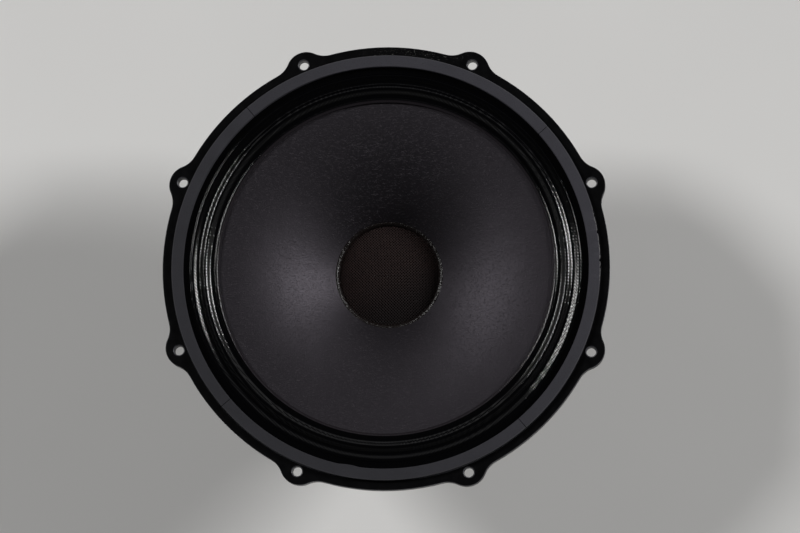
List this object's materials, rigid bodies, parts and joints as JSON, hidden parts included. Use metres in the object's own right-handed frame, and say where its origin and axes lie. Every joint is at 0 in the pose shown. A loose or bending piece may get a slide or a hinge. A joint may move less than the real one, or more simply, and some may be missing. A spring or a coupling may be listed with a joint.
{
  "type": "mid-bass driver",
  "caption": "Round mid-bass loudspeaker driver with a lugged cast frame, paper cone, rolled cloth surround, mesh dust cap, ring magnet motor and push terminals.",
  "frame": {"origin": "centre of the bolt circle on the rear mounting face of the flange", "axes": "+Z along the driver's axis, out of the cone; -Y towards the terminals; the driver rests on its back plate"},
  "size_m": [0.3, 0.3, 0.129],
  "materials": {
    "frame_black": "satin",
    "gasket_grey": "matte",
    "doped_cloth": "gloss",
    "cone_paper": "matte",
    "cap_mesh": "matte",
    "black_adhesive": "gloss",
    "amber_adhesive": "gloss",
    "former_sheet": "satin",
    "coil_copper": "gloss",
    "spider_cloth": "matte",
    "plated_steel": "satin",
    "ferrite": "matte",
    "ring_aluminium": "satin",
    "screen_steel": "matte",
    "screw_steel": "satin",
    "board_phenolic": "satin",
    "terminal_nickel": "gloss",
    "button_red": "gloss",
    "button_black": "gloss",
    "spring_wire": "satin",
    "tinned_brass": "satin",
    "lead_braid": "satin"
  },
  "bodies": {
    "chassis": {"basket": "frame_black", "front_gasket": "gasket_grey", "surround": "doped_cloth", "spider": "spider_cloth", "top_plate": "plated_steel", "magnet": "ferrite", "yoke": "plated_steel", "shorting_ring": "ring_aluminium", "vent_screen": "screen_steel", "motor_screws": "screw_steel", "terminal_board": "board_phenolic", "board_screws": "screw_steel", "barrel_positive": "terminal_nickel", "barrel_negative": "terminal_nickel", "spring_positive": "spring_wire", "spring_negative": "spring_wire", "solder_tag_positive": "tinned_brass", "solder_tag_negative": "tinned_brass", "lead_positive": "lead_braid", "lead_negative": "lead_braid"},
    "moving_assembly": {"cone": "cone_paper", "dust_cap": "cap_mesh", "cap_adhesive": "black_adhesive", "neck_adhesive": "amber_adhesive", "voice_coil_former": "former_sheet", "voice_coil_winding": "coil_copper", "coil_strips": "coil_copper", "lead_joints": "black_adhesive", "spider_adhesive": "amber_adhesive"},
    "terminal_push_positive": {"plunger_positive": "terminal_nickel", "button_positive": "button_red"},
    "terminal_push_negative": {"plunger_negative": "terminal_nickel", "button_negative": "button_black"}
  },
  "joints": [
    {"name": "cone_travel", "type": "slide", "parent": "chassis", "child": "moving_assembly", "axis": [0, 0, 1], "range_m": [-0.007, 0.007], "stiffness_N_per_m": 4800, "deforming": ["surround", "spider", "lead_positive", "lead_negative"]},
    {"name": "positive_push", "type": "slide", "parent": "chassis", "child": "terminal_push_positive", "axis": [0, 1, 0], "range_m": [0, 0.003], "stiffness_N_per_m": 500, "springref_m": -0.004, "deforming": ["spring_positive"]},
    {"name": "negative_push", "type": "slide", "parent": "chassis", "child": "terminal_push_negative", "axis": [0, 1, 0], "range_m": [0, 0.003], "stiffness_N_per_m": 500, "springref_m": -0.004, "deforming": ["spring_negative"]}
  ]
}
